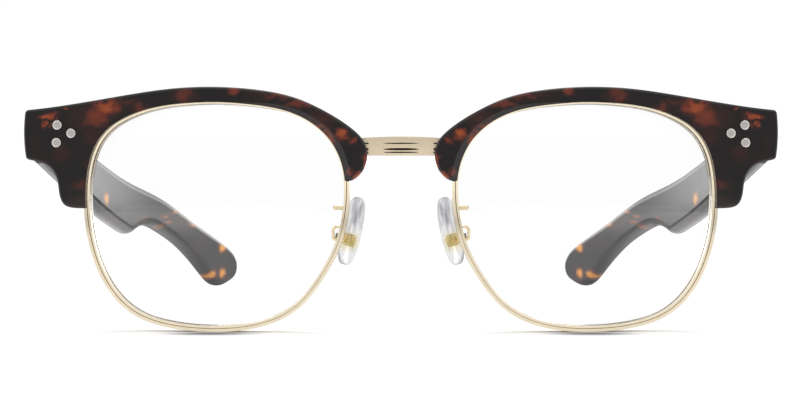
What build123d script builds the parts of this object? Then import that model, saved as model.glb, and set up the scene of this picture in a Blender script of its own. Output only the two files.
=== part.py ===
from build123d import *
from math import cos, radians, sin
import os

# Half rim (browline) eyeglasses, millimetres, standing open on a table.
# X is across the face (the wearer's left is +X), Y runs from the front back to the
# ear tips, Z is up and Z = 0 is the table under the two rims and the two tips.
# Every piece of the wearer's left side is modelled; the right side is its mirror image.

# overall
FRONT_Y = -74.0          # foremost plane of the front, at the bridge
FACE_RADIUS = 500.0      # the front follows an upright cylinder of this radius
SIDE_TO_SIDE = 170.0

# depths behind the foremost surface, measured on the curve of the front
BROW_BACK = 4.0
BROW_LIP = 0.2           # the brow's opening stands this far outside the rim's inner edge
BROW_LIP_SHIFT = 0.3     # and this much farther on the outer side, where more of the rim shows
BROW_ROUND = 0.5
BROW_CORNER = 0.8
RIM_FRONT = 1.2
RIM_BACK = 3.9
RIM_WIDTH = 1.15
GROOVE_DEPTH = 0.5
BEAD_WIDTH = 0.42        # inner bead of the rim, set back a little and parted by a fine groove
BEAD_SETBACK = 0.12
BEAD_GROOVE_WIDTH = 0.14
BEAD_GROOVE_DEPTH = 0.4
LENS_EDGE_FRONT = 1.95
LENS_THICKNESS = 1.8
LENS_RADIUS = 180.0
BRIDGE_FRONT = 1.85
BRIDGE_BACK = 3.65
BRIDGE_GROOVES = [(36.2, 0.26), (35.08, 0.46), (34.48, 0.28)]     # Z and width
BRIDGE_GROOVE_DEPTH = 0.6

# rim lock and brow end
LOCK_GAP_Z = 29.5
LOCK_X = 64.4
LOCK_SCREW_X = 63.1
LOCK_SCREW_DEPTH = 3.15
LUG_BACK = 4.9
END_SCREW_X = 65.7
END_SCREW_Z = 30.9

# hinge
HINGE_X = 67.3
HINGE_Y = FRONT_Y + 11.1
KNUCKLE_RADIUS = 1.2
KNUCKLE_HEIGHT = 1.2
KNUCKLE_PITCH = 1.3
KNUCKLE_Z = 34.8
PIN_RADIUS = 0.65
LEAF_BACK = 5.0
FRONT_RIVETS = [(66.53, 39.86), (63.76, 38.25), (66.69, 36.45)]
RIVET_RADIUS = 0.93
TEMPLE_GAP = 0.3
TEMPLE_THICKNESS = 4.2
TEMPLE_ROUND = 1.95
TEMPLE_LEAF = [(12.9, 40.6), (12.9, 34.8), (22.2, 31.8), (22.2, 37.8)]
TEMPLE_RIVETS = [(15.2, 38.4), (15.2, 35.5), (20.1, 35.3)]
TEMPLE_RIVET_RADIUS = 0.75
FIT = 0.02               # radial clearance of a rivet in its hole

# eye opening, the inner edge of the rim seen from the front: (X, Z)
EYE = [(37.4, 43.85), (46.0, 43.1), (52.2, 41.25), (57.0, 38.0), (59.4, 33.6), (60.3, 28.5),
       (60.3, 22.7), (59.0, 15.7), (56.1, 9.2), (51.4, 4.4), (44.0, 1.8), (36.0, 1.15),
       (28.2, 1.9), (20.8, 5.1), (15.5, 11.4), (12.4, 17.6), (11.1, 23.7), (11.0, 29.5),
       (13.5, 36.3), (20.2, 41.5), (28.9, 43.4)]

# brow outline: the top edge from the outer corner to the nasal tip
BROW_TOP = [(73.05, 42.85), (64.0, 43.87), (52.0, 45.73), (43.5, 46.8), (36.8, 47.05),
            (28.0, 46.5), (20.1, 44.85), (14.4, 42.25), (9.2, 38.85), (7.0, 36.4),
            (6.4, 34.2), (6.85, 31.7), (8.5, 29.6), (10.14, 28.85)]
# the end piece from the rim out to its lower corner
BROW_END = [(61.0, 23.72), (63.4, 23.8), (65.2, 24.4), (66.1, 26.0), (66.6, 29.0),
            (68.4, 31.85), (70.9, 32.85), (72.9, 33.3)]

# temple seen from the side, round from the hinge end's top to its bottom:
# (distance behind the foremost plane, Z)
TEMPLE_SIDE = [(6.0, 43.6), (22.0, 39.2), (38.0, 35.5), (49.0, 33.0), (62.4, 30.25),
               (77.5, 27.85), (90.0, 25.6), (103.4, 22.2), (117.0, 18.4), (132.7, 14.1),
               (140.5, 11.75), (144.6, 10.1), (147.6, 7.6), (148.4, 4.6), (146.8, 2.1),
               (142.6, 0.75), (138.6, 0.15), (134.2, 0.08), (130.0, 0.9), (125.0, 3.1),
               (118.0, 6.7), (110.6, 10.1), (103.2, 12.95), (95.8, 15.2), (88.7, 17.0),
               (82.1, 18.4), (77.0, 19.0), (71.7, 18.7), (67.2, 17.8), (64.3, 17.25),
               (61.0, 17.75), (50.4, 20.4), (36.0, 24.6), (22.0, 28.9), (6.0, 33.5)]
CORE_LINE = [(23.5, 33.4), (38.0, 29.2), (60.0, 24.6), (84.0, 22.3), (97.0, 19.4), (109.0, 15.8),
             (122.5, 10.8), (134.0, 7.2), (140.0, 6.0)]
# temple seen from above: its inner face is a parabola given by these control points
TEMPLE_PLAN = [(68.99, 8.0), (65.77, 80.0), (48.88, 152.0)]

# nose pad
PAD_CENTRE = (9.8, FRONT_Y + 9.6, 19.25)
PAD_FACE_ANGLE = 22.0    # how far the pad's face turns back from facing straight sideways
PAD_LEAN = 12.5          # how far the pad's top leans in towards the nose
PAD_HEIGHT = 13.6
PAD_WIDTH = 7.2
PAD_THICKNESS = 2.2
PAD_PIVOT = 1.85         # distance from the pad's middle plane to its screw
PAD_DROP = 1.8           # the screw is this far below the pad's middle
FOOT_RADIUS = 0.48
FOOT_LENGTH = 2.8
WIRE_RADIUS = 0.3
# pad arm, as (X, distance behind the foremost plane, Z): from the foot, a bar across the back
# of the rim, down behind the rim and round in a loop that ends on the yoke's back
PAD_ARM = [(10.3, 4.49, 23.9), (10.9, 7.8, 20.2), (13.35, 8.2, 20.1)]

front_plane = Plane.XZ.offset(-FRONT_Y + 6)      # in front of everything, facing -Y
side_plane = Plane.YZ.offset(40)
DEPTH = 40.0


def behind(depth, x=0.0):
    """Y of the surface that lies depth behind the foremost surface, at distance x from the middle."""
    ring = FACE_RADIUS - depth
    return FRONT_Y + FACE_RADIUS - (ring * ring - x * x) ** 0.5


def curved_slab(near, far):
    """Slab between two depths that follows the curve of the front."""
    with BuildPart() as slab:
        with BuildSketch(Plane.XY.offset(-5)):
            with Locations((0, FRONT_Y + FACE_RADIUS)):
                Circle(FACE_RADIUS - near)
                Circle(FACE_RADIUS - far, mode=Mode.SUBTRACT)
            with Locations((0, FRONT_Y + 20)):
                Rectangle(SIDE_TO_SIDE, 60, mode=Mode.INTERSECT)
        extrude(amount=60)
    return slab.part


def side_points(points):
    """Side view points moved from distance behind the front to Y."""
    return [(y + FRONT_Y, z) for y, z in points]


with BuildLine() as eye_edge:
    Spline(*EYE, periodic=True)


def eye_face(amount):
    """Face bounded by a closed curve parallel to the eye opening, amount outside it."""
    points = []
    for step in range(40):
        position = eye_edge.edge() @ (step / 40)
        tangent = eye_edge.edge() % (step / 40)
        points.append((position.X - tangent.Y * amount, position.Y + tangent.X * amount))
    with BuildSketch() as parallel:
        with BuildLine():
            Spline(*points, periodic=True)
        make_face()
    return parallel.sketch


eye = eye_face(0)
rim_outline = eye_face(RIM_WIDTH)
rim_clearance = eye_face(RIM_WIDTH + 0.05)
groove_outline = eye_face(GROOVE_DEPTH)
bead_outline = eye_face(BEAD_WIDTH)
bead_groove_outline = eye_face(BEAD_WIDTH + BEAD_GROOVE_WIDTH)
lens_outline = eye_face(-0.05)
bevel_outline = eye_face(GROOVE_DEPTH - 0.06)
brow_opening = eye_face(BROW_LIP)
carve_outline = eye_face(3.35)
carve_foot = eye_face(-4.15)

brow_slab = curved_slab(0, BROW_BACK)
rim_slab = curved_slab(RIM_FRONT, RIM_BACK)
groove_slab = curved_slab(2.45, 3.25)
bead_slab = curved_slab(RIM_FRONT - 0.5, RIM_FRONT + BEAD_SETBACK)
bead_groove_slab = curved_slab(RIM_FRONT - 0.5, RIM_FRONT + BEAD_GROOVE_DEPTH)
bevel_slab = curved_slab(2.5, 3.2)
rim_pocket_slab = curved_slab(RIM_FRONT - 0.05, BROW_BACK + 0.5)
lock_slab = curved_slab(2.25, BROW_BACK)
lock_pocket_slab = curved_slab(2.15, BROW_BACK + 0.5)
lug_slab = curved_slab(BROW_BACK, LUG_BACK)
bridge_slab = curved_slab(BRIDGE_FRONT, BRIDGE_BACK)
bridge_pocket_slab = curved_slab(BRIDGE_FRONT - 0.05, BROW_BACK + 0.5)
leaf_slab = curved_slab(BROW_BACK, LEAF_BACK)
leaf_socket_slab = curved_slab(0, LEAF_BACK - 0.2)
temple_front_slab = curved_slab(-2, BROW_BACK + TEMPLE_GAP)

# metal rim with a groove for the lens and a stepped inner bead, split at the rim lock
with BuildPart() as groove:
    with BuildSketch(front_plane):
        add(groove_outline)
    extrude(amount=-DEPTH)
    add(groove_slab, mode=Mode.INTERSECT)

with BuildPart() as bead_step:
    with BuildSketch(front_plane):
        add(bead_outline)
    extrude(amount=-DEPTH)
    add(bead_slab, mode=Mode.INTERSECT)

with BuildPart() as bead_groove:
    with BuildSketch(front_plane):
        add(bead_groove_outline)
        add(bead_outline, mode=Mode.SUBTRACT)
    extrude(amount=-DEPTH)
    add(bead_groove_slab, mode=Mode.INTERSECT)

with BuildPart() as eyewire:
    with BuildSketch(front_plane):
        add(rim_outline)
        add(eye, mode=Mode.SUBTRACT)
    extrude(amount=-DEPTH)
    add(rim_slab, mode=Mode.INTERSECT)
    with BuildSketch(front_plane):
        with Locations((61, LOCK_GAP_Z)):
            Rectangle(4, 0.1)
    extrude(amount=-DEPTH, mode=Mode.SUBTRACT)
    add(groove.part, mode=Mode.SUBTRACT)
    add(bead_step.part, mode=Mode.SUBTRACT)
    add(bead_groove.part, mode=Mode.SUBTRACT)

# clear meniscus lens with an edge bevel that sits in the rim's groove
lens_x = 35.6
lens_z = 22.5
lens_tilt = lens_x / FACE_RADIUS
lens_centre_x = lens_x - LENS_RADIUS * sin(lens_tilt)
lens_centre_y = behind(LENS_EDGE_FRONT - 1.2, lens_x) + LENS_RADIUS * cos(lens_tilt)
with BuildPart() as lens_edge:
    with BuildSketch(front_plane):
        add(bevel_outline)
    extrude(amount=-DEPTH)
    add(bevel_slab, mode=Mode.INTERSECT)

with BuildPart() as lens:
    with BuildSketch(front_plane):
        add(lens_outline)
    extrude(amount=-DEPTH)
    with Locations((lens_centre_x, lens_centre_y, lens_z)):
        Sphere(LENS_RADIUS, mode=Mode.INTERSECT)
        Sphere(LENS_RADIUS - LENS_THICKNESS, mode=Mode.SUBTRACT)
    add(lens_edge.part)

# the two halves of the rim lock, on the outer side of the rim
lock_blocks = []
for low, high in [(27.0, LOCK_GAP_Z - 0.15), (LOCK_GAP_Z + 0.15, 32.0)]:
    with BuildPart() as block:
        with BuildSketch(front_plane):
            with Locations(((60 + LOCK_X) / 2, (low + high) / 2)):
                Rectangle(LOCK_X - 60, high - low)
            add(rim_outline, mode=Mode.SUBTRACT)
        extrude(amount=-DEPTH)
        add(lock_slab, mode=Mode.INTERSECT)
        with Locations((LOCK_SCREW_X, behind(LOCK_SCREW_DEPTH, LOCK_SCREW_X), (low + high) / 2)):
            Cylinder(0.45, 4, mode=Mode.SUBTRACT)
    lock_blocks.append(block.part)

# screw that draws the lock shut, its head below the lower block
with BuildPart() as closing_screw:
    with Locations((LOCK_SCREW_X, behind(LOCK_SCREW_DEPTH, LOCK_SCREW_X), 26.4)):
        Cylinder(0.7, 0.6, align=(Align.CENTER, Align.CENTER, Align.MIN))
        Cylinder(0.4, 5.4, align=(Align.CENTER, Align.CENTER, Align.MIN))
    with Locations((LOCK_SCREW_X, behind(LOCK_SCREW_DEPTH, LOCK_SCREW_X), 26.4)):
        Box(1.6, 0.2, 0.4, mode=Mode.SUBTRACT)

# plate soldered to the upper block and the back of the brow, with its screw
with BuildPart() as end_lug:
    with BuildSketch(front_plane):
        with Locations((64.2, 30.9)):
            RectangleRounded(5.0, 2.2, 1.0)
    extrude(amount=-DEPTH)
    add(lug_slab, mode=Mode.INTERSECT)
    with BuildSketch(front_plane):
        with Locations((END_SCREW_X, END_SCREW_Z)):
            Circle(0.45)
    extrude(amount=-DEPTH, mode=Mode.SUBTRACT)


def blind_screw(x, z, tip_depth, seat_depth):
    """Screw along Y that goes forward from the seat into the brow."""
    seat_y = behind(seat_depth, x) + 0.08
    with BuildPart() as screw:
        with BuildSketch(Plane.XZ.offset(-seat_y)):
            with Locations((x, z)):
                Circle(0.8)
        extrude(amount=-0.55)
        fillet(screw.faces().sort_by(Axis.Y)[-1].edges(), radius=0.2)
        with BuildSketch(Plane.XZ.offset(-seat_y)):
            with Locations((x, z)):
                Circle(0.4)
        extrude(amount=seat_y - behind(tip_depth, x))
        with BuildSketch(Plane.XZ.offset(-seat_y - 0.55)):
            with Locations((x, z)):
                Rectangle(1.8, 0.22)
        extrude(amount=0.2, mode=Mode.SUBTRACT)
    return screw.part


end_screw = blind_screw(END_SCREW_X, END_SCREW_Z, 2.0, LUG_BACK)
brow_screw = blind_screw(8.9, 35.6, 0.9, BRIDGE_BACK)

# bridge bar between the rims: shallow arched top, reeded front face
with BuildPart() as bridge:
    with BuildSketch(front_plane):
        with BuildLine():
            ThreePointArc((-14, 36.6), (0, 37.5), (14, 36.6))
            Line((14, 36.6), (14, 33.9))
            Line((14, 33.9), (-14, 33.9))
            Line((-14, 33.9), (-14, 36.6))
        make_face()
        add(rim_outline, mode=Mode.SUBTRACT)
        add(mirror(rim_outline, about=Plane.YZ, mode=Mode.PRIVATE), mode=Mode.SUBTRACT)
    extrude(amount=-DEPTH)
    add(bridge_slab, mode=Mode.INTERSECT)
    for z, width in BRIDGE_GROOVES:
        with BuildSketch(Plane.XZ.offset(-behind(BRIDGE_FRONT) - BRIDGE_GROOVE_DEPTH)):
            with Locations((0, z)):
                Ellipse(3.4, width / 2)
            with Locations((-7.7, z), (7.7, z)):
                SlotOverall(3.0, width)
        extrude(amount=2, mode=Mode.SUBTRACT)
    with BuildSketch(front_plane):
        with Locations((8.9, 35.6), (-8.9, 35.6)):
            Circle(0.45)
    extrude(amount=-DEPTH, mode=Mode.SUBTRACT)

# brow and end piece, one piece of sheet acetate, with pockets in its back for the metal
with BuildPart() as rim_pocket:
    with BuildSketch(front_plane):
        add(rim_clearance)
    extrude(amount=-DEPTH)
    add(rim_pocket_slab, mode=Mode.INTERSECT)

with BuildPart() as lock_pocket:
    with BuildSketch(front_plane):
        with Locations((62.3, 29.15)):
            Rectangle(4.4, 6.0)
    extrude(amount=-DEPTH)
    add(lock_pocket_slab, mode=Mode.INTERSECT)

with BuildPart() as bridge_pocket:
    with BuildSketch(front_plane):
        with Locations((9.5, 35.7)):
            Rectangle(9.0, 3.8)
    extrude(amount=-DEPTH)
    add(bridge_pocket_slab, mode=Mode.INTERSECT)

# carved bevel along the upper nasal side of the opening; it dies out where the front curves away
with BuildPart() as carved_bevel:
    with BuildSketch(Plane.XZ.offset(-FRONT_Y + 1)):
        with Locations((0.25, 0)):
            add(carve_outline)
    with BuildSketch(Plane.XZ.offset(-FRONT_Y - 4)):
        with Locations((0.25, 0)):
            add(carve_foot)
    loft(ruled=True)

with BuildPart() as brow:
    with BuildSketch(front_plane):
        with BuildLine():
            Spline(*BROW_TOP)
            Line(BROW_TOP[-1], (14.0, 30.0))
            Line((14.0, 30.0), (57.0, 25.0))
            Line((57.0, 25.0), BROW_END[0])
            Spline(*BROW_END)
            ThreePointArc(BROW_END[-1], (73.35, 38.0), BROW_TOP[0])
        make_face()
        fillet(vertices().sort_by(Axis.X)[-2:], radius=BROW_CORNER)
    extrude(amount=-DEPTH)
    add(brow_slab, mode=Mode.INTERSECT)
    outer_edges = brow.faces().sort_by(Axis.Y)[0].edges().filter_by(GeomType.LINE, reverse=True)
    fillet(outer_edges, radius=BROW_ROUND)
    with BuildSketch(front_plane):
        add(brow_opening)
        with Locations((BROW_LIP_SHIFT, 0)):
            add(brow_opening)
    extrude(amount=-DEPTH, mode=Mode.SUBTRACT)
    add(carved_bevel.part, mode=Mode.SUBTRACT)
    add(rim_pocket.part, mode=Mode.SUBTRACT)
    add(lock_pocket.part, mode=Mode.SUBTRACT)
    add(bridge_pocket.part, mode=Mode.SUBTRACT)
    with BuildSketch(front_plane):
        with Locations(*FRONT_RIVETS):
            Circle(RIVET_RADIUS + FIT)
    extrude(amount=-DEPTH, mode=Mode.SUBTRACT)
    add(end_screw, mode=Mode.SUBTRACT)
    add(brow_screw, mode=Mode.SUBTRACT)

# hinge leaf on the back of the end piece, with three knuckles on an upright axis
knuckles = [KNUCKLE_Z + i * KNUCKLE_PITCH for i in range(5)]
with BuildPart() as rivet_sockets:
    with BuildSketch(front_plane):
        with Locations(*FRONT_RIVETS):
            Circle(RIVET_RADIUS + FIT)
    extrude(amount=-DEPTH)
    add(leaf_socket_slab, mode=Mode.INTERSECT)

with BuildPart() as hinge_front:
    with BuildSketch(front_plane):
        with Locations((65.4, 38.2)):
            RectangleRounded(6.4, 7.2, 1.2)
    extrude(amount=-DEPTH)
    add(leaf_slab, mode=Mode.INTERSECT)
    for z in knuckles[0::2]:
        with BuildSketch(Plane.XY.offset(z)):
            with Locations((HINGE_X, HINGE_Y)):
                Circle(KNUCKLE_RADIUS)
            with Locations((HINGE_X - 0.1, HINGE_Y - 1.0)):
                Rectangle(1.9, 1.8)
        extrude(amount=KNUCKLE_HEIGHT)
    add(rivet_sockets.part, mode=Mode.SUBTRACT)
    with BuildSketch(Plane.XY):
        with Locations((HINGE_X, HINGE_Y)):
            Circle(PIN_RADIUS + 0.05)
    extrude(amount=60, mode=Mode.SUBTRACT)

# rivets of the end piece: their polished ends are the three dots on the front
front_rivets = []
for x, z in FRONT_RIVETS:
    with BuildPart() as rivet:
        start = Plane.XZ.offset(-behind(LEAF_BACK - 0.4, x))
        with BuildSketch(start):
            with Locations((x, z)):
                Circle(RIVET_RADIUS)
        extrude(amount=LEAF_BACK - 0.4 + 0.08)
        chamfer(rivet.faces().sort_by(Axis.Y)[0].edges(), length=0.1)
    front_rivets.append(rivet.part)

# screw that is the hinge's pin
with BuildPart() as hinge_screw:
    with BuildSketch(Plane.XY.offset(KNUCKLE_Z - 0.1)):
        with Locations((HINGE_X, HINGE_Y)):
            Circle(PIN_RADIUS)
    extrude(amount=4 * KNUCKLE_PITCH + KNUCKLE_HEIGHT + 0.1)
    with BuildSketch(Plane.XY.offset(KNUCKLE_Z + 4 * KNUCKLE_PITCH + KNUCKLE_HEIGHT)):
        with Locations((HINGE_X, HINGE_Y)):
            Circle(1.05)
    extrude(amount=0.55)
    fillet(hinge_screw.faces().sort_by(Axis.Z)[-1].edges(), radius=0.2)
    with BuildSketch(Plane.XY.offset(KNUCKLE_Z + 4 * KNUCKLE_PITCH + KNUCKLE_HEIGHT + 0.35)):
        with Locations((HINGE_X, HINGE_Y)):
            Rectangle(2.4, 0.3)
    extrude(amount=1, mode=Mode.SUBTRACT)


def plan_slab(inner, outer):
    """Upright slab between two distances outside the temple's inner face."""
    near = [(x + inner, y + FRONT_Y) for x, y in TEMPLE_PLAN]
    far = [(x + outer, y + FRONT_Y) for x, y in TEMPLE_PLAN]
    with BuildPart() as slab:
        with BuildSketch(Plane.XY.offset(-5)):
            with BuildLine():
                Bezier(*near)
                Line(near[-1], far[-1])
                Bezier(*far)
                Line(far[0], near[0])
            make_face()
        extrude(amount=60)
    return slab.part


temple_slab = plan_slab(0, TEMPLE_THICKNESS)
core_slab = plan_slab(TEMPLE_THICKNESS / 2 - 0.6, TEMPLE_THICKNESS / 2 + 0.6)
temple_leaf_slab = plan_slab(-0.75, 0.3)
temple_rivet_slab = plan_slab(-0.4, TEMPLE_THICKNESS + 0.03)

# metal strip shot into the temple
with BuildPart() as core_wire:
    with BuildSketch(side_plane):
        with BuildLine():
            upper = side_points([(y, z + 1.0) for y, z in CORE_LINE])
            lower = side_points([(y, z - 1.0) for y, z in CORE_LINE])
            Spline(*upper)
            Line(upper[-1], lower[-1])
            Spline(*lower)
            Line(lower[0], upper[0])
        make_face()
    extrude(amount=DEPTH)
    add(core_slab, mode=Mode.INTERSECT)

# leaf on the temple's inner face, with the two knuckles between the front leaf's three
with BuildPart() as temple_rivet_sockets:
    with BuildSketch(side_plane):
        with Locations(*side_points(TEMPLE_RIVETS)):
            Circle(TEMPLE_RIVET_RADIUS + FIT)
    extrude(amount=DEPTH)
    add(temple_rivet_slab, mode=Mode.INTERSECT)

with BuildPart() as temple_leaf:
    with BuildSketch(side_plane):
        with BuildLine():
            Polyline(*side_points(TEMPLE_LEAF), close=True)
        make_face()
        fillet(vertices(), radius=0.8)
    extrude(amount=DEPTH)
    add(temple_leaf_slab, mode=Mode.INTERSECT)

with BuildPart() as hinge_temple:
    add(temple_leaf.part)
    for z in knuckles[1::2]:
        with BuildSketch(Plane.XY.offset(z)):
            with Locations((HINGE_X, HINGE_Y)):
                Circle(KNUCKLE_RADIUS)
            with BuildLine():
                Polyline((HINGE_X, HINGE_Y + 1.15), (HINGE_X + 1.15, HINGE_Y), (68.9, FRONT_Y + 13.4),
                         (68.1, FRONT_Y + 13.4), close=True)
            make_face()
        extrude(amount=KNUCKLE_HEIGHT)
    add(temple_rivet_sockets.part, mode=Mode.SUBTRACT)
    with BuildSketch(Plane.XY):
        with Locations((HINGE_X, HINGE_Y)):
            Circle(PIN_RADIUS + 0.05)
    extrude(amount=60, mode=Mode.SUBTRACT)

temple_rivets = []
for y, z in TEMPLE_RIVETS:
    with BuildPart() as rivet:
        with BuildSketch(side_plane):
            with Locations((y + FRONT_Y, z)):
                Circle(TEMPLE_RIVET_RADIUS)
        extrude(amount=DEPTH)
        add(temple_rivet_slab, mode=Mode.INTERSECT)
    temple_rivets.append(rivet.part)

# temple: falls from the end piece, a step below its middle, then a paddle that rests on the ear
with BuildPart() as temple:
    with BuildSketch(side_plane):
        with BuildLine():
            Spline(*side_points(TEMPLE_SIDE))
            Line(side_points(TEMPLE_SIDE)[-1], side_points(TEMPLE_SIDE)[0])
        make_face()
    extrude(amount=DEPTH)
    add(temple_slab, mode=Mode.INTERSECT)
    long_edges = temple.edges().filter_by(lambda edge: edge.length > 100)
    fillet(long_edges, radius=TEMPLE_ROUND)
    add(temple_front_slab, mode=Mode.SUBTRACT)
    add(hinge_temple.part, mode=Mode.SUBTRACT)
    add(core_wire.part, mode=Mode.SUBTRACT)
    add(temple_rivet_sockets.part, mode=Mode.SUBTRACT)

# nose pad: its plane faces the side of the nose; along is the pad's long axis, out points to the nose
face = radians(PAD_FACE_ANGLE)
lean = radians(PAD_LEAN)
along = Vector(-sin(lean), 0, cos(lean))
out = Vector(-cos(face) * cos(lean), sin(face), -cos(face) * sin(lean))
pad_plane = Plane(origin=PAD_CENTRE, x_dir=along, z_dir=out)
pivot_plane = Plane(origin=pad_plane.from_local_coords((-PAD_DROP, 0, -PAD_PIVOT)), x_dir=along,
                    z_dir=-pad_plane.y_dir)

# metal insert: a plate across the inside of the pad and a tab that the pad screw goes through
with BuildPart() as pad_insert:
    with BuildSketch(pad_plane.offset(-0.35)):
        with Locations((-PAD_DROP, 0)):
            SlotOverall(5.8, 2.4, rotation=90)
    extrude(amount=0.7)
    with BuildSketch(pivot_plane.offset(-0.35)):
        Circle(0.55)
        with Locations((0, PAD_PIVOT / 2 - 0.1)):
            Rectangle(1.1, PAD_PIVOT - 0.2)
        Circle(0.3, mode=Mode.SUBTRACT)
    extrude(amount=0.7)

# soft clear pad moulded round the insert
with BuildPart() as nose_pad:
    with BuildSketch(pad_plane.offset(-PAD_THICKNESS / 2)):
        Ellipse(PAD_HEIGHT / 2, PAD_WIDTH / 2)
    extrude(amount=PAD_THICKNESS)
    fillet(nose_pad.edges().filter_by(lambda edge: edge.length > 20), radius=0.85)
    add(pad_insert.part, mode=Mode.SUBTRACT)

# yoke at the end of the pad arm: back plate and two cheeks, with the tab between them
with BuildPart() as pad_box:
    with BuildSketch(pivot_plane.offset(-0.75)):
        with Locations((0, -0.25)):
            Rectangle(1.6, 1.4)
        fillet(vertices().group_by(Axis.Y)[-1], radius=0.4)
    extrude(amount=1.5)
    with BuildSketch(pivot_plane.offset(-0.42)):
        with Locations((0, 0.35)):
            Rectangle(4, 2.0)
    extrude(amount=0.84, mode=Mode.SUBTRACT)
    with BuildSketch(pivot_plane.offset(-2)):
        Circle(0.3)
    extrude(amount=4, mode=Mode.SUBTRACT)

with BuildPart() as pad_screw:
    with BuildSketch(pivot_plane.offset(-0.85)):
        Circle(0.26)
    extrude(amount=1.65)
    with BuildSketch(pivot_plane.offset(0.75)):
        Circle(0.5)
    extrude(amount=0.3)
    with BuildSketch(pivot_plane.offset(0.93)):
        Rectangle(1.4, 0.16)
    extrude(amount=0.3, mode=Mode.SUBTRACT)

# pad arm: a foot across the back of the rim, then down and round in a loop to the yoke
arm_corner = pivot_plane.from_local_coords((-0.5, -1.5, 0))
arm_end = pivot_plane.from_local_coords((-0.5, -0.95, 0))
arm_points = [Vector(x, y + FRONT_Y, z) for x, y, z in PAD_ARM]
foot_end = arm_points[0] + Vector(FOOT_LENGTH, 0, 0)
with BuildPart() as pad_arm:
    with BuildLine() as arm_path:
        FilletPolyline(foot_end, *arm_points, arm_corner, arm_end, radius=[1.0, 0.8, 0.9, 0.4])
    with BuildSketch(Plane.YZ.offset(foot_end.X)):
        with Locations((foot_end.Y, foot_end.Z)):
            Circle(WIRE_RADIUS)
    sweep(path=arm_path.wire())
    with BuildSketch(Plane.YZ.offset(foot_end.X)):
        with Locations((foot_end.Y, foot_end.Z)):
            Circle(FOOT_RADIUS)
    extrude(amount=-FOOT_LENGTH)
    fillet(pad_arm.faces().filter_by(GeomType.PLANE).sort_by(Axis.X)[-1].edges(), radius=0.3)

os.makedirs("parts", exist_ok=True)

bridge.part.label = "bridge"
export_step(bridge.part, "parts/bridge.step")

one_side = {
    "eyewire": eyewire.part,
    "lens": lens.part,
    "closing_block_lower": lock_blocks[0],
    "closing_block_upper": lock_blocks[1],
    "closing_screw": closing_screw.part,
    "brow": brow.part,
    "brow_screw": brow_screw,
    "end_lug": end_lug.part,
    "end_screw": end_screw,
    "hinge_front": hinge_front.part,
    "hinge_screw": hinge_screw.part,
    "hinge_temple": hinge_temple.part,
    "temple": temple.part,
    "core_wire": core_wire.part,
    "pad_arm": pad_arm.part,
    "pad_box": pad_box.part,
    "pad_screw": pad_screw.part,
    "pad_insert": pad_insert.part,
    "nose_pad": nose_pad.part,
}
for number in range(3):
    one_side[f"front_rivet_{number + 1}"] = front_rivets[number]
    one_side[f"temple_rivet_{number + 1}"] = temple_rivets[number]

for name, piece in one_side.items():
    piece.label = f"left_{name}"
    export_step(piece, f"parts/left_{name}.step")
    twin = mirror(piece, about=Plane.YZ)
    twin.label = f"right_{name}"
    export_step(twin, f"parts/right_{name}.step")
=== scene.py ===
import math
from collections import namedtuple

import bpy
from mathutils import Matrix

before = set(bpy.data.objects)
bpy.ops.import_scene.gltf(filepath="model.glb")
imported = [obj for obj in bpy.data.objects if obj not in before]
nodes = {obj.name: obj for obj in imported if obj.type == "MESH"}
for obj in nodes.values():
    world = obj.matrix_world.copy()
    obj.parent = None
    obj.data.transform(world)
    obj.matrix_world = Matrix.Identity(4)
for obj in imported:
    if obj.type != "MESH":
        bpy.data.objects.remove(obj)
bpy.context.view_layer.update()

SIDES = ("left", "right")
Place = namedtuple("Place", "vector x y z")


# ---------------------------------------------------------------- node helpers

def new_material(name):
    """An empty material, its tree and its Principled shader."""
    mat = bpy.data.materials.new(name)
    mat.use_nodes = True
    return mat, mat.node_tree, mat.node_tree.nodes["Principled BSDF"]


def add(tree, kind, **settings):
    """A node of this kind; settings are its properties, or its inputs by name."""
    node = tree.nodes.new(kind)
    for key, value in settings.items():
        if hasattr(node, key):
            setattr(node, key, value)
        else:
            node.inputs[key.replace("_", " ")].default_value = value
    return node


def feed(tree, socket, value):
    """Link a socket to another, or give it a plain value."""
    if hasattr(value, "is_output"):
        tree.links.new(value, socket)
    else:
        socket.default_value = value


def grey(value):
    return (value, value, value, 1)


def ramp(tree, value, stops):
    """Colour ramp from a value, through (place, colour) stops."""
    node = tree.nodes.new("ShaderNodeValToRGB")
    elements = node.color_ramp.elements
    while len(elements) < len(stops):
        elements.new(0.5)
    for element, (place, colour) in zip(elements, stops):
        element.position = place
        element.color = colour if len(colour) == 4 else (*colour, 1)
    tree.links.new(value, node.inputs[0])
    return node.outputs[0]


def combine(tree, operation, a, b):
    """Math node on two sockets or numbers."""
    node = add(tree, "ShaderNodeMath", operation=operation)
    feed(tree, node.inputs[0], a)
    feed(tree, node.inputs[1], b)
    return node.outputs[0]


def vector_math(tree, operation, a, b=None):
    node = add(tree, "ShaderNodeVectorMath", operation=operation)
    feed(tree, node.inputs[0], a)
    if b is not None:
        feed(tree, node.inputs[1], b)
    return node


def scaled(tree, vector, amount):
    node = vector_math(tree, "SCALE", vector)
    feed(tree, node.inputs["Scale"], amount)
    return node.outputs[0]


def mix(tree, share, a, b, blend="MIX"):
    """Colour mix; share, a and b are sockets or values."""
    node = add(tree, "ShaderNodeMix", data_type="RGBA", blend_type=blend)
    for number, value in ((0, share), (6, a), (7, b)):
        feed(tree, node.inputs[number], value)
    return node.outputs[2]


def mix_shaders(tree, share, a, b):
    node = add(tree, "ShaderNodeMixShader")
    for number, value in enumerate((share, a.outputs[0], b.outputs[0])):
        feed(tree, node.inputs[number], value)
    return node


def show(tree, shader):
    """Make this shader the material's surface."""
    tree.links.new(shader.outputs[0], tree.nodes["Material Output"].inputs[0])


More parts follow.
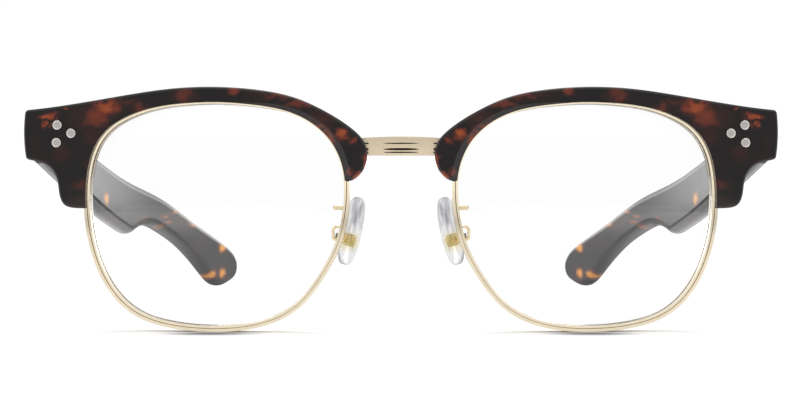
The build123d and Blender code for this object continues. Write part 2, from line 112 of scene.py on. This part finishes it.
def eased(tree, value, start, end):
    """0 at start, 1 at end, smooth between; start may be the larger."""
    node = add(tree, "ShaderNodeMapRange", interpolation_type="SMOOTHSTEP")
    node.inputs["From Min"].default_value = start
    node.inputs["From Max"].default_value = end
    tree.links.new(value, node.inputs["Value"])
    return node.outputs[0]


def split_up(tree, vector):
    node = add(tree, "ShaderNodeSeparateXYZ")
    tree.links.new(vector, node.inputs[0])
    return node.outputs


def put_together(tree, x, z):
    """Vector from an X and a Z, with Y at 0."""
    node = add(tree, "ShaderNodeCombineXYZ")
    feed(tree, node.inputs[0], x)
    feed(tree, node.inputs[2], z)
    return node.outputs[0]


def mirrored_place(tree):
    """The place on the object with X folded over, so left and right carry the same figure."""
    coords = add(tree, "ShaderNodeTexCoord")
    x, y, z = split_up(tree, coords.outputs["Object"])
    folded = combine(tree, "ABSOLUTE", x, 0.0)
    join = add(tree, "ShaderNodeCombineXYZ")
    for number, value in enumerate((folded, y, z)):
        tree.links.new(value, join.inputs[number])
    return Place(join.outputs[0], folded, y, z)


def noise(tree, vector, scale, detail=2.0, roughness=0.5, distortion=0.0, stretch=(1, 1, 1)):
    """Noise in patches per metre, drawn out along the axes whose stretch is under 1."""
    mapping = add(tree, "ShaderNodeMapping")
    mapping.inputs["Scale"].default_value = stretch
    tree.links.new(vector, mapping.inputs["Vector"])
    node = add(tree, "ShaderNodeTexNoise", Scale=scale, Detail=detail, Roughness=roughness,
               Distortion=distortion)
    tree.links.new(mapping.outputs[0], node.inputs["Vector"])
    return node.outputs["Fac"]


def blob(tree, vector, centre, radii):
    """1 about the centre of an ellipsoid, fading to 0 just outside it (metres)."""
    full_within = 0.15
    gone_beyond = 1.15
    mapping = add(tree, "ShaderNodeMapping")
    mapping.inputs["Scale"].default_value = [1 / r for r in radii]
    mapping.inputs["Location"].default_value = [-c / r for c, r in zip(centre, radii)]
    tree.links.new(vector, mapping.inputs["Vector"])
    length = vector_math(tree, "LENGTH", mapping.outputs[0])
    return eased(tree, length.outputs["Value"], gone_beyond, full_within)


def bump(tree, bsdf, height, strength, distance):
    node = add(tree, "ShaderNodeBump", Strength=strength, Distance=distance)
    tree.links.new(height, node.inputs["Height"])
    tree.links.new(node.outputs[0], bsdf.inputs["Normal"])


def recolour(mat, share, colour):
    """Change a material's base colour to another where share is 1."""
    tree = mat.node_tree
    socket = tree.nodes["Principled BSDF"].inputs["Base Color"]
    tree.links.new(mix(tree, share, socket.links[0].from_socket, colour), socket)


# ---------------------------------------------------------------- acetate

def wobbled(tree, vector, scale, reach):
    """The coordinates pushed about by noise, so that the edges of patches run unevenly."""
    cloud = add(tree, "ShaderNodeTexNoise", Scale=scale, Detail=3.0, Roughness=0.6)
    tree.links.new(vector, cloud.inputs["Vector"])
    centred = vector_math(tree, "SUBTRACT", cloud.outputs["Color"], (0.5, 0.5, 0.5))
    moved = vector_math(tree, "ADD", vector, scaled(tree, centred.outputs[0], reach))
    return moved.outputs[0]


def tortoise(name, patches, stops, cloud_scale, cloud_amount, wobble, roughness, specular,
             relief=0.0):
    """Polished tortoise acetate: near-black ground, faint clouds, and placed red to amber patches."""
    mat, tree, bsdf = new_material(name)
    place = mirrored_place(tree)
    uneven = wobbled(tree, place.vector, WOBBLE_SCALE, wobble)
    cloud = noise(tree, place.vector, cloud_scale, detail=3.0, roughness=0.55, distortion=0.6)
    tone = ramp(tree, cloud, [(0.52, grey(0)), (0.78, grey(cloud_amount))])
    for centre, radii, strength in patches:
        spot = blob(tree, uneven, centre, radii)
        tone = combine(tree, "MAXIMUM", tone, combine(tree, "MULTIPLY", spot, strength))
    mottle = ramp(tree, noise(tree, place.vector, MOTTLE_SCALE),
                  [(0.3, grey(0.86)), (0.65, grey(1.0))])
    colour = ramp(tree, combine(tree, "MULTIPLY", tone, mottle), stops)
    tree.links.new(colour, bsdf.inputs["Base Color"])
    polish = ramp(tree, noise(tree, place.vector, POLISH_SCALE, roughness=0.6),
                  [(0.35, grey(roughness - 0.02)), (0.7, grey(roughness + 0.03))])
    tree.links.new(polish, bsdf.inputs["Roughness"])
    bsdf.inputs["IOR"].default_value = 1.49
    bsdf.inputs["Specular IOR Level"].default_value = specular
    if relief:
        waves = noise(tree, place.vector, RELIEF_SCALE, detail=1.0)
        bump(tree, bsdf, waves, relief, RELIEF_DEPTH)
    return mat


def dull_towards_tip(mat, tip_level):
    """Less gloss on the part of the temple that is handled, behind its step."""
    tree = mat.node_tree
    socket = tree.nodes["Principled BSDF"].inputs["Specular IOR Level"]
    behind_step = eased(tree, mirrored_place(tree).y, *TEMPLE_DULLS)
    level = ramp(tree, behind_step, [(0.0, grey(socket.default_value)), (1.0, grey(tip_level))])
    tree.links.new(level, socket)


# ---------------------------------------------------------------- metal

def metal(name, colour, roughness, grain=3000.0, stretch=(1, 1, 1), variation=0.05, relief=0.0):
    """Metal whose colour and polish vary a little, with a fine grain."""
    mat, tree, bsdf = new_material(name)
    place = mirrored_place(tree)
    low = [c * (1 - variation) for c in colour]
    high = [min(1, c * (1 + variation)) for c in colour]
    tone = ramp(tree, noise(tree, place.vector, METAL_TONE_SCALE, stretch=stretch),
                [(0.3, low), (0.7, high)])
    tree.links.new(tone, bsdf.inputs["Base Color"])
    bsdf.inputs["Metallic"].default_value = 1.0
    fine = noise(tree, place.vector, grain, roughness=0.6, stretch=stretch)
    polish = ramp(tree, fine, [(0.3, grey(roughness - 0.03)), (0.7, grey(roughness + 0.04))])
    tree.links.new(polish, bsdf.inputs["Roughness"])
    if relief:
        bump(tree, bsdf, fine, relief, GRAIN_DEPTH)
    return mat


def facing_front(tree):
    """1 on faces that look forwards, else 0."""
    normal = add(tree, "ShaderNodeNewGeometry").outputs["True Normal"]
    return combine(tree, "LESS_THAN", split_up(tree, normal)[1], FORWARD_NORMAL)


def depth_in_front(tree):
    """How far a point lies behind the foremost surface of the curved front, in metres."""
    place = mirrored_place(tree)
    square = combine(tree, "MULTIPLY", place.x, place.x)
    sag = combine(tree, "MULTIPLY", square, 0.5 / FACE_RADIUS)
    return combine(tree, "SUBTRACT", combine(tree, "SUBTRACT", place.y, FRONT_Y), sag)


def paint_groove_shade(mat, depths, dark):
    """Painted shade on forward-facing floors that lie between two depths behind the front."""
    tree = mat.node_tree
    depth = depth_in_front(tree)
    beyond = combine(tree, "GREATER_THAN", depth, depths[0])
    before = combine(tree, "LESS_THAN", depth, depths[1])
    inside = combine(tree, "MULTIPLY", beyond, before)
    recolour(mat, combine(tree, "MULTIPLY", inside, facing_front(tree)), dark)


def towards_eye_centre(tree):
    """Unit vector in the front's plane, from a point of the rim to the middle of its eye."""
    place = mirrored_place(tree)
    coords = add(tree, "ShaderNodeTexCoord")
    side = combine(tree, "SIGN", split_up(tree, coords.outputs["Object"])[0], 0.0)
    across = combine(tree, "SUBTRACT", EYE_CENTRE[0], place.x)
    upwards = combine(tree, "SUBTRACT", EYE_CENTRE[1], place.z)
    inwards = put_together(tree, combine(tree, "MULTIPLY", side, across), upwards)
    return vector_math(tree, "NORMALIZE", inwards).outputs[0]


def crown_inwards(mat, amount):
    """Lean the normals of the rim's front face towards the middle of its eye, where the rim runs
    inside the brow, as on a rim with a slightly rounded face."""
    tree = mat.node_tree
    upper = eased(tree, mirrored_place(tree).z, *CROWN_RISE)
    share = combine(tree, "MULTIPLY", facing_front(tree), upper)
    lean = scaled(tree, towards_eye_centre(tree), combine(tree, "MULTIPLY", share, amount))
    normal = add(tree, "ShaderNodeNewGeometry").outputs["Normal"]
    leaned = vector_math(tree, "ADD", normal, lean)
    even = vector_math(tree, "NORMALIZE", leaned.outputs[0])
    tree.links.new(even.outputs[0], tree.nodes["Principled BSDF"].inputs["Normal"])


def shade_lens_seat(mat, dark):
    """Painted shade: a dark line where the lens sits in the rim, on the inner wall of the rim's upper
    half.
    """
    tree = mat.node_tree
    normal = add(tree, "ShaderNodeNewGeometry").outputs["True Normal"]
    inwards = vector_math(tree, "DOT_PRODUCT", normal, towards_eye_centre(tree))
    wall = combine(tree, "GREATER_THAN", inwards.outputs["Value"], INWARD_NORMAL)
    upper = eased(tree, mirrored_place(tree).z, *SEAT_RISE)
    recolour(mat, combine(tree, "MULTIPLY", wall, upper), dark)


def rivet_face(name, colour, edge):
    """Rivet ground flush: satin middle and a painted highlight ring from there to its edge."""
    mat = metal(name, colour, 0.3)
    tree = mat.node_tree
    place = mirrored_place(tree)
    flat = put_together(tree, place.x, place.z)
    nearest = None
    for rivet_x, rivet_z in FRONT_RIVETS:
        away = vector_math(tree, "DISTANCE", flat, (rivet_x, 0, rivet_z)).outputs["Value"]
        nearest = away if nearest is None else combine(tree, "MINIMUM", nearest, away)
    recolour(mat, eased(tree, nearest, *RIVET_HIGHLIGHT_RING), edge)
    return mat


# ---------------------------------------------------------------- clear parts

def pad_clear(name):
    """Soft clear pad: see-through with grey streaks, greyer towards its rounded edges, and a painted
    reflection of its gold insert tinting it round the insert."""
    mat, tree, bsdf = new_material(name)
    place = mirrored_place(tree)
    slant = add(tree, "ShaderNodeLayerWeight", Blend=0.45).outputs["Facing"]
    grain = noise(tree, place.vector, STREAK_SCALE, distortion=0.4, stretch=(1, 0.35, 0.22))
    streak = ramp(tree, grain, [(0.38, (0.60, 0.60, 0.62)), (0.50, (1.0, 1.0, 1.0))])
    # painted reflection of the gold insert, tinting the pad round it
    glow = blob(tree, place.vector, PAD_GOLD_REFLECTION, PAD_GOLD_REFLECTION_RADII)
    glow = combine(tree, "MULTIPLY", glow, PAD_GOLD_REFLECTION_SHARE)
    tint = mix(tree, glow, streak, (0.97, 0.88, 0.55, 1))
    outline = ramp(tree, slant, [(0.45, grey(1.0)), (0.95, (0.46, 0.46, 0.48))])
    see = add(tree, "ShaderNodeBsdfTransparent")
    tree.links.new(mix(tree, 1.0, tint, outline, blend="MULTIPLY"), see.inputs[0])
    bsdf.inputs["Base Color"].default_value = (0.86, 0.86, 0.88, 1)
    bsdf.inputs["Roughness"].default_value = 0.12
    bsdf.inputs["IOR"].default_value = 1.42
    body = ramp(tree, slant, [(0.2, grey(0.02)), (0.9, grey(0.22))])
    show(tree, mix_shaders(tree, body, see, bsdf))
    return mat


def lens_glass(name, tint):
    """Thin clear lens: light passes straight through, with the surface's own reflection on top,
    alike from the front and from behind."""
    mat, tree, bsdf = new_material(name)
    tree.nodes.remove(bsdf)
    see = add(tree, "ShaderNodeBsdfTransparent", Color=tint)
    gloss = add(tree, "ShaderNodeBsdfGlossy", Roughness=0.0)
    slant = add(tree, "ShaderNodeLayerWeight", Blend=0.5).outputs["Facing"]
    rise = combine(tree, "POWER", slant, 5.0)
    share = combine(tree, "ADD", combine(tree, "MULTIPLY", rise, LENS_GRAZING), LENS_GLOSS)
    show(tree, mix_shaders(tree, share, see, gloss))
    return mat


# ---------------------------------------------------------------- figures of the materials

# the front's curve, as in the CAD model, and the depths behind it between which the grooves'
# floors lie and get painted shade, in metres
FACE_RADIUS = 0.5
FRONT_Y = -0.074
RIM_GROOVE = (0.00145, 0.00175)
BRIDGE_GROOVE = (0.00205, 0.0028)

# middle of an eye, X and Z, and the heights between which the rim's crowned face and the painted
# shade at its lens seat set in
EYE_CENTRE = (0.0357, 0.0235)
CROWN_RISE = (0.018, 0.023)
SEAT_RISE = (0.018, 0.026)

# a face looks forwards where its normal's Y is below the first, and in at the lens where its
# normal's part towards the eye's middle is above the second
FORWARD_NORMAL = -0.8
INWARD_NORMAL = 0.6

# middles of the front rivets, X and Z, and the distances from them between which a rivet's painted
# highlight ring sets in
FRONT_RIVETS = [(0.06653, 0.03986), (0.06376, 0.03825), (0.06669, 0.03645)]
RIVET_HIGHLIGHT_RING = (0.00062, 0.00080)

# noise, in patches per metre, and the depths of relief, in metres
WOBBLE_SCALE = 420
MOTTLE_SCALE = 600
POLISH_SCALE = 150
RELIEF_SCALE = 90
METAL_TONE_SCALE = 260
STREAK_SCALE = 520
RELIEF_DEPTH = 0.0004
GRAIN_DEPTH = 0.00005

# share of light that a lens reflects straight on, and what is added to it at a grazing view
LENS_GLOSS = 0.034
LENS_GRAZING = 0.9

# painted gold reflection in the pad round its insert, and the stretch over which the temple loses
# gloss
PAD_GOLD_REFLECTION = (0.0104, -0.0644, 0.0173)
PAD_GOLD_REFLECTION_RADII = (0.0030, 0.0060, 0.0026)
PAD_GOLD_REFLECTION_SHARE = 0.8
TEMPLE_DULLS = (-0.022, 0.012)

# tortoise colours, from the near-black ground to the brightest patches
BROW_STOPS = [(0.0, (0.0075, 0.0058, 0.0060)), (0.25, (0.026, 0.009, 0.008)),
              (0.6, (0.130, 0.024, 0.011)), (1.0, (0.34, 0.072, 0.018))]
TEMPLE_STOPS = [(0.0, (0.0075, 0.0058, 0.0060)), (0.3, (0.040, 0.013, 0.010)),
                (0.6, (0.170, 0.050, 0.012)), (1.0, (0.86, 0.36, 0.03))]

# patches in the acetate: centre and radii, both X, Y and Z in metres, and strength
BROW_PATCHES = [
    # outer end of the brow, inwards of the rivets, round them and below them
    ((0.0567, -0.0705, 0.0431), (0.0040, 0.02, 0.0024), 0.84),
    ((0.0586, -0.0705, 0.0414), (0.0038, 0.02, 0.0030), 0.60),
    ((0.0530, -0.0710, 0.0441), (0.0046, 0.02, 0.0013), 0.32),
    ((0.0608, -0.0705, 0.0412), (0.0050, 0.02, 0.0030), 0.24),
    ((0.0594, -0.0705, 0.0378), (0.0030, 0.02, 0.0034), 0.22),
    ((0.0684, -0.0695, 0.0414), (0.0026, 0.02, 0.0008), 0.86),
    ((0.0674, -0.0695, 0.0418), (0.0022, 0.02, 0.0010), 0.45),
    ((0.0690, -0.0695, 0.0397), (0.0006, 0.02, 0.0012), 0.72),
    ((0.0680, -0.0695, 0.0398), (0.0006, 0.02, 0.0010), 0.44),
    ((0.0646, -0.0695, 0.0431), (0.0010, 0.02, 0.0004), 0.72),
    ((0.0616, -0.0700, 0.0282), (0.0026, 0.02, 0.0016), 0.34),
    ((0.0655, -0.0700, 0.0345), (0.0026, 0.02, 0.0022), 0.24),
    # along the top of the brow, from the outside in
    ((0.0501, -0.0720, 0.0428), (0.0026, 0.02, 0.0014), 0.42),
    ((0.0415, -0.0720, 0.0454), (0.0032, 0.02, 0.0022), 0.46),
    ((0.0321, -0.0730, 0.0464), (0.0015, 0.02, 0.0014), 0.62),
    ((0.0235, -0.0735, 0.0454), (0.0056, 0.02, 0.0012), 0.40),
    ((0.0195, -0.0735, 0.0436), (0.0040, 0.02, 0.0012), 0.50),
    ((0.0150, -0.0735, 0.0410), (0.0040, 0.02, 0.0020), 0.30),
    ((0.0170, -0.0735, 0.0392), (0.0045, 0.02, 0.0011), 0.60),
    # nasal end
    ((0.0138, -0.0735, 0.0368), (0.0014, 0.02, 0.0030), 0.74),
    ((0.0113, -0.0738, 0.0378), (0.0020, 0.02, 0.0015), 0.84),
    ((0.0092, -0.0738, 0.0366), (0.0012, 0.02, 0.0013), 0.60),
    ((0.0066, -0.0738, 0.0322), (0.0009, 0.02, 0.0022), 0.86),
    ((0.0080, -0.0738, 0.0299), (0.0018, 0.02, 0.0010), 1.00),
    ((0.0099, -0.0738, 0.0308), (0.0010, 0.02, 0.0009), 0.60)]
TEMPLE_PATCHES = [
    # flecks on the tip
    ((0.0500, 0.0600, 0.0112), (0.02, 0.0056, 0.0024), 1.00),
    ((0.0500, 0.0600, 0.0038), (0.02, 0.0050, 0.0028), 1.00),
    ((0.0530, 0.0520, 0.0038), (0.02, 0.0052, 0.0022), 0.92),
    # streaks along the rear half of the shaft
    ((0.0560, 0.0360, 0.0186), (0.02, 0.0074, 0.0014), 0.74),
    ((0.0590, 0.0225, 0.0222), (0.02, 0.0070, 0.0010), 0.72),
    ((0.0600, 0.0140, 0.0210), (0.02, 0.0060, 0.0009), 0.66),
    ((0.0600, 0.0165, 0.0196), (0.02, 0.0060, 0.0008), 0.66),
    ((0.0610, 0.0110, 0.0186), (0.02, 0.0050, 0.0013), 0.62),
    ((0.0630, -0.0020, 0.0212), (0.02, 0.0040, 0.0012), 0.50),
    # forward half of the shaft
    ((0.0660, -0.0290, 0.0256), (0.02, 0.0032, 0.0024), 0.92),
    ((0.0665, -0.0180, 0.0312), (0.02, 0.0040, 0.0010), 0.50),
    ((0.0690, -0.0420, 0.0330), (0.02, 0.0060, 0.0016), 0.45)]


# ---------------------------------------------------------------- materials of the pieces

brow_acetate = tortoise("brow_acetate", BROW_PATCHES, BROW_STOPS, cloud_scale=120.0,
                        cloud_amount=0.26, wobble=0.0034, roughness=0.07, specular=0.4, relief=0.08)
temple_acetate = tortoise("temple_acetate", TEMPLE_PATCHES, TEMPLE_STOPS, cloud_scale=90.0,
                          cloud_amount=0.42, wobble=0.0016, roughness=0.12, specular=0.5)
dull_towards_tip(temple_acetate, 0.24)

rim_gold = metal("rim_gold", (0.76, 0.665, 0.50), 0.20)
# painted shade on the floor of the rim's groove
paint_groove_shade(rim_gold, RIM_GROOVE, (0.40, 0.33, 0.23, 1))
crown_inwards(rim_gold, 0.32)
# painted shade line where the lens sits in the rim
shade_lens_seat(rim_gold, (0.10, 0.08, 0.06, 1))
bridge_gold = metal("bridge_satin", (0.68, 0.57, 0.415), 0.34, grain=900, stretch=(0.06, 1, 1),
                    variation=0.14, relief=0.10)
# painted shade on the floors of the bridge's grooves
paint_groove_shade(bridge_gold, BRIDGE_GROOVE, (0.03, 0.022, 0.015, 1))
fitting_gold = metal("fitting_gold", (0.78, 0.66, 0.42), 0.22)
insert_gold = metal("insert_gold", (0.95, 0.82, 0.46), 0.32)
insert_gold.node_tree.nodes["Principled BSDF"].inputs["Metallic"].default_value = 0.55
hinge_metal = metal("hinge_metal", (0.66, 0.58, 0.42), 0.28)
# the rivet's bright ring is a painted highlight
rivet_metal = rivet_face("rivet_metal", (0.50, 0.48, 0.47), (0.86, 0.82, 0.74, 1))
screw_metal = metal("screw_metal", (0.66, 0.62, 0.52), 0.22)
core_metal = metal("core_metal", (0.6, 0.6, 0.6), 0.3)
clear_lens = lens_glass("clear_lens", (0.995, 0.995, 0.995, 1))
clear_pad = pad_clear("clear_pad")

PIECES = [
    (brow_acetate, ["brow"]),
    (temple_acetate, ["temple"]),
    (clear_lens, ["lens"]),
    (clear_pad, ["nose_pad"]),
    (rim_gold, ["eyewire"]),
    (fitting_gold, ["closing_block_upper", "closing_block_lower", "end_lug", "pad_arm", "pad_box"]),
    (insert_gold, ["pad_insert"]),
    (hinge_metal, ["hinge_front", "hinge_temple"]),
    (rivet_metal, [f"{part}_rivet_{number}" for part in ("front", "temple") for number in (1, 2, 3)]),
    (screw_metal, ["closing_screw", "end_screw", "brow_screw", "hinge_screw", "pad_screw"]),
    (core_metal, ["core_wire"])]


def give(node_name, material):
    """Make this the piece's only material."""
    mesh = nodes[node_name].data
    mesh.materials.clear()
    mesh.materials.append(material)


give("bridge", bridge_gold)
for material, pieces in PIECES:
    for piece in pieces:
        for side in SIDES:
            give(f"{side}_{piece}", material)


# ---------------------------------------------------------------- stage

# brightness of the studio: as it lights the floor, as the camera sees it, and the rest as
# reflections see it
FLOOR_LIGHT = 1.06
PLAIN_WHITE = 1.04
PANELS = 1.15
GAP = 0.50
REAR = 2.8
SCREEN = 0.30
CARD = 1.4

# greys of the floor: its paper, its painted contact shadow right under the rims, and as reflections
# see it behind
PAPER = 0.93
RIM_SHADOW_GREY = 0.22
DIM = 0.30

# zones of the floor by Y, in metres: where each starts to show and where it is full
PLAIN_FROM = (-0.069, -0.060)
CARD_FROM = (-0.03, -0.005)
CARD_UNTIL = (0.06, 0.02)
DIM_FROM = (0.02, 0.06)
FAR_FROM = (0.40, 1.0)
FAR_SHARE = 0.75
# centre and radii of the painted contact shadow under each rim, which reflections don't see
CONTACT_SHADOW = (0.0362, -0.0742, 0.0)
CONTACT_SHADOW_RADII = (0.0112, 0.0042, 0.01)

# zones of the world by the parts of a ray's direction: where each starts and where it is full
SLOT_LEVEL = (0.34, 0.14)
SLOT_IN_FRONT = (-0.62, -0.84)
REAR_LEVEL = (0.20, 0.08)
REAR_BEHIND = (0.4, 0.7)
SCREEN_FROM = (0.34, 0.52)
SCREEN_UNTIL = (0.86, 0.72)
SCREEN_BEHIND = (0.2, 0.4)


def white_floor(name):
    """White floor: a painted contact shadow only right under the two rims, and plain white to the
    camera farther back.
    Reflections see a bright card under the temples, then a greyer floor, and brighter floor far
    behind."""
    mat, tree, bsdf = new_material(name)
    bsdf.inputs["Roughness"].default_value = 0.9
    bsdf.inputs["Specular IOR Level"].default_value = 0.0
    place = mirrored_place(tree)
    path = add(tree, "ShaderNodeLightPath")
    in_mirror = path.outputs["Is Glossy Ray"]
    # painted contact shadow under the rims, left out of reflections
    contact_shadow = combine(tree, "SUBTRACT", blob(tree, place.vector, CONTACT_SHADOW, CONTACT_SHADOW_RADII), in_mirror)
    paper = mix(tree, contact_shadow, grey(PAPER), grey(RIM_SHADOW_GREY))
    dim = combine(tree, "MULTIPLY", eased(tree, place.y, *DIM_FROM), in_mirror)
    tree.links.new(mix(tree, dim, paper, grey(DIM)), bsdf.inputs["Base Color"])
    under_temples = combine(tree, "MULTIPLY", eased(tree, place.y, *CARD_FROM),
                            eased(tree, place.y, *CARD_UNTIL))
    far = combine(tree, "MULTIPLY", eased(tree, place.y, *FAR_FROM), FAR_SHARE)
    lit = combine(tree, "MULTIPLY", combine(tree, "MAXIMUM", under_temples, far), in_mirror)
    card = add(tree, "ShaderNodeEmission", Strength=CARD)
    plain = combine(tree, "MULTIPLY", eased(tree, place.y, *PLAIN_FROM), path.outputs["Is Camera Ray"])
    glow = add(tree, "ShaderNodeEmission", Strength=PLAIN_WHITE)
    show(tree, mix_shaders(tree, plain, mix_shaders(tree, lit, bsdf, card), glow))
    return mat


def white_studio(name):
    """The camera sees plain white behind the object. Reflections see white panels all round, apart
    from a greyer slot at the height of the object in front, a brighter panel behind it and dark
    screens beside that panel."""
    world = bpy.data.worlds.new(name)
    world.use_nodes = True
    tree = world.node_tree
    direction = add(tree, "ShaderNodeTexCoord")
    x, y, z = split_up(tree, direction.outputs["Generated"])
    aside = combine(tree, "ABSOLUTE", x, 0.0)
    rise = combine(tree, "ABSOLUTE", z, 0.0)
    level = eased(tree, rise, *SLOT_LEVEL)
    slot = combine(tree, "MULTIPLY", level, eased(tree, y, *SLOT_IN_FRONT))
    beside = combine(tree, "MULTIPLY", eased(tree, aside, *SCREEN_FROM),
                     eased(tree, aside, *SCREEN_UNTIL))
    screens = combine(tree, "MULTIPLY", beside, eased(tree, y, *SCREEN_BEHIND))
    screens = combine(tree, "MULTIPLY", screens, level)
    rear = combine(tree, "MULTIPLY", eased(tree, rise, *REAR_LEVEL), eased(tree, y, *REAR_BEHIND))
    reflected = mix(tree, slot, grey(PANELS), grey(GAP))
    reflected = mix(tree, rear, reflected, grey(REAR))
    reflected = mix(tree, screens, reflected, grey(SCREEN))
    path = add(tree, "ShaderNodeLightPath")
    lit = mix(tree, path.outputs["Is Glossy Ray"], grey(FLOOR_LIGHT), reflected)
    seen = mix(tree, path.outputs["Is Camera Ray"], lit, grey(PLAIN_WHITE))
    background = tree.nodes["Background"]
    tree.links.new(seen, background.inputs[0])
    background.inputs[1].default_value = 1.0
    return world


# the floor lies a hair below Z 0, so that it doesn't coincide with the object's lowest points
FLOOR_SIZE = 12
FLOOR_GAP = 0.00002
bpy.ops.mesh.primitive_plane_add(size=FLOOR_SIZE, location=(0, 0, -FLOOR_GAP))
floor = bpy.context.object
floor.name = "floor"
floor.data.materials.append(white_floor("floor_white"))

scene = bpy.context.scene
scene.world = white_studio("studio")

ceiling_data = bpy.data.lights.new("ceiling", "SUN")
ceiling_data.energy = 1.0
ceiling_data.angle = math.radians(40)
ceiling = bpy.data.objects.new("ceiling", ceiling_data)
ceiling.location = (0, 0.15, 0.9)
ceiling.rotation_euler = (-ceiling.location).to_track_quat("-Z", "Y").to_euler()
scene.collection.objects.link(ceiling)

camera_data = bpy.data.cameras.new("camera")
camera_data.sensor_width = 36
camera_data.lens = 56.84
camera_data.clip_start = 0.01
# the view's shift, in shares of its width
camera_data.shift_x = -0.00125
camera_data.shift_y = 0.000625
camera = bpy.data.objects.new("camera", camera_data)
camera.location = (0, -0.314, 0.02525)
camera.rotation_euler = (math.radians(90), 0, 0)
scene.collection.objects.link(camera)
scene.camera = camera
scene.view_settings.view_transform = "Standard"
